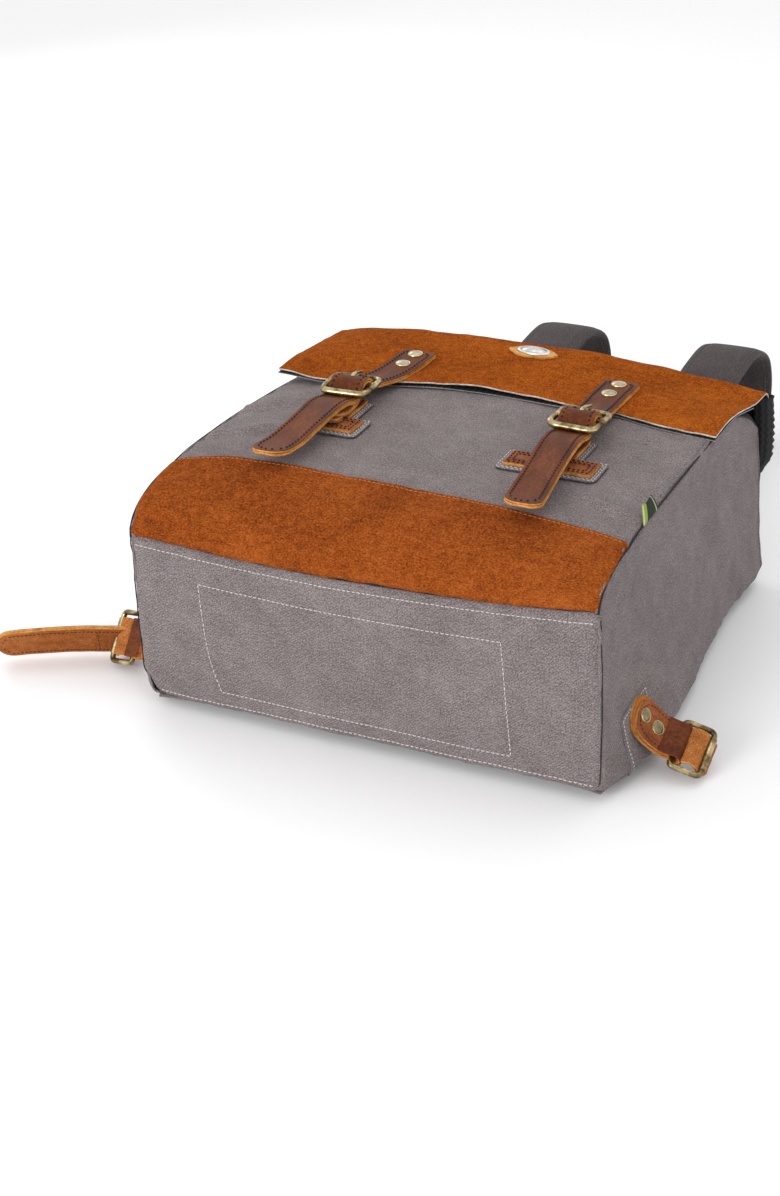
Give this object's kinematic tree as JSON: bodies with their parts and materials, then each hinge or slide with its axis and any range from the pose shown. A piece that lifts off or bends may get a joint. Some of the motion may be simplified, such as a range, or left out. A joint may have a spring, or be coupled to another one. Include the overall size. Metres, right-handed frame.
{
  "type": "travel backpack",
  "caption": "Canvas backpack with a suede flap and front band, buckled leather closure straps, side strap buckles and looped shoulder straps, lying on its back.",
  "frame": {"origin": "centre of the flat back pad on which the bag lies", "axes": "+Y from the bag's bottom to its top end, +Z out of the front panel, +X to the right as seen from the front with the top end up"},
  "size_m": [0.4682, 0.531, 0.167],
  "materials": {
    "canvas": "washed grey cotton canvas, fine twill weave",
    "strap_canvas": "dark grey cotton canvas over foam",
    "suede": "cognac suede with a mottled nap",
    "leather": "oiled brown leather with raw tan edges",
    "raw_leather": "tan leather with a cut edge",
    "antique_brass": "antique brass, rubbed bright on its edges",
    "badge_metal": "polished pewter-coloured plate",
    "lining_cloth": "dark polyester lining",
    "pad_mesh": "black spacer mesh over foam",
    "board": "stiffening board",
    "label": "folded woven label, plain"
  },
  "bodies": {
    "bag": {"front_panel": "canvas", "bottom_panel": "canvas", "back_panel": "canvas", "gusset_left": "canvas", "gusset_right": "canvas", "canvas_patch_left": "canvas", "canvas_patch_right": "canvas", "side_patch_left": "canvas", "side_patch_right": "canvas", "shoulder_strap_left": "strap_canvas", "shoulder_strap_right": "strap_canvas", "front_band": "suede", "leather_patch_left": "leather", "side_tab_left": "leather", "lower_strap_left": "leather", "leather_patch_right": "leather", "side_tab_right": "leather", "lower_strap_right": "leather", "snap_socket_left": "antique_brass", "side_rivet_1_left": "antique_brass", "side_rivet_2_left": "antique_brass", "snap_socket_right": "antique_brass", "side_rivet_1_right": "antique_brass", "side_rivet_2_right": "antique_brass", "lining": "lining_cloth", "laptop_sleeve": "lining_cloth", "back_pad_centre": "pad_mesh", "back_pad_left": "pad_mesh", "back_pad_right": "pad_mesh", "base_board": "board", "seam_label": "label"},
    "flap_wall": {"flap_yoke": "canvas", "flap_wall": "suede"},
    "flap_front": {"flap_front": "suede", "flap_lining": "lining_cloth", "badge_patch": "raw_leather", "badge_plate": "badge_metal", "closure_strap_upper_left": "leather", "closure_rivet_1_left": "antique_brass", "closure_rivet_2_left": "antique_brass", "closure_strap_upper_right": "leather", "closure_rivet_1_right": "antique_brass", "closure_rivet_2_right": "antique_brass"},
    "closure_left": {"closure_strap_left": "leather", "closure_buckle_left": "antique_brass", "closure_tab_left": "leather", "snap_stud_left": "antique_brass"},
    "prong_left": {"closure_prong_left": "antique_brass"},
    "side_buckle_left": {"side_buckle_left": "antique_brass", "side_strap_left": "leather", "side_tail_left": "leather"},
    "closure_right": {"closure_strap_right": "leather", "closure_buckle_right": "antique_brass", "closure_tab_right": "leather", "snap_stud_right": "antique_brass"},
    "prong_right": {"closure_prong_right": "antique_brass"},
    "side_buckle_right": {"side_buckle_right": "antique_brass", "side_strap_right": "leather"}
  },
  "joints": [
    {"name": "flap_hinge", "type": "hinge", "parent": "bag", "child": "flap_wall", "pos_m": [0, 0.1485, 0.0145], "axis": [-1, 0, 0], "range_deg": [0, 80], "deforming": ["shoulder_strap_left", "shoulder_strap_right"]},
    {"name": "flap_fold", "type": "hinge", "parent": "flap_wall", "child": "flap_front", "pos_m": [0, 0.1515, 0.148], "axis": [-1, 0, 0], "range_deg": [0, 90]},
    {"name": "closure_left_lift", "type": "hinge", "parent": "flap_front", "child": "closure_left", "pos_m": [-0.076, 0.0515, 0.1535], "axis": [-1, 0, 0], "range_deg": [0, 80]},
    {"name": "prong_left_turn", "type": "hinge", "parent": "closure_left", "child": "prong_left", "pos_m": [-0.076, 0.02, 0.1605], "axis": [1, 0, 0], "range_deg": [0, 60]},
    {"name": "side_buckle_left_pivot", "type": "hinge", "parent": "bag", "child": "side_buckle_left", "pos_m": [-0.17779, -0.10905, 0.02146], "axis": [0, 0.6428, 0.766], "range_deg": [0, 25]},
    {"name": "closure_right_lift", "type": "hinge", "parent": "flap_front", "child": "closure_right", "pos_m": [0.076, 0.0515, 0.1535], "axis": [-1, 0, 0], "range_deg": [0, 80]},
    {"name": "prong_right_turn", "type": "hinge", "parent": "closure_right", "child": "prong_right", "pos_m": [0.076, 0.02, 0.1605], "axis": [1, 0, 0], "range_deg": [0, 60]},
    {"name": "side_buckle_right_pivot", "type": "hinge", "parent": "bag", "child": "side_buckle_right", "pos_m": [0.17779, -0.09269, 0.01791], "axis": [0, -0.9272, -0.3746], "range_deg": [0, 25]}
  ]
}
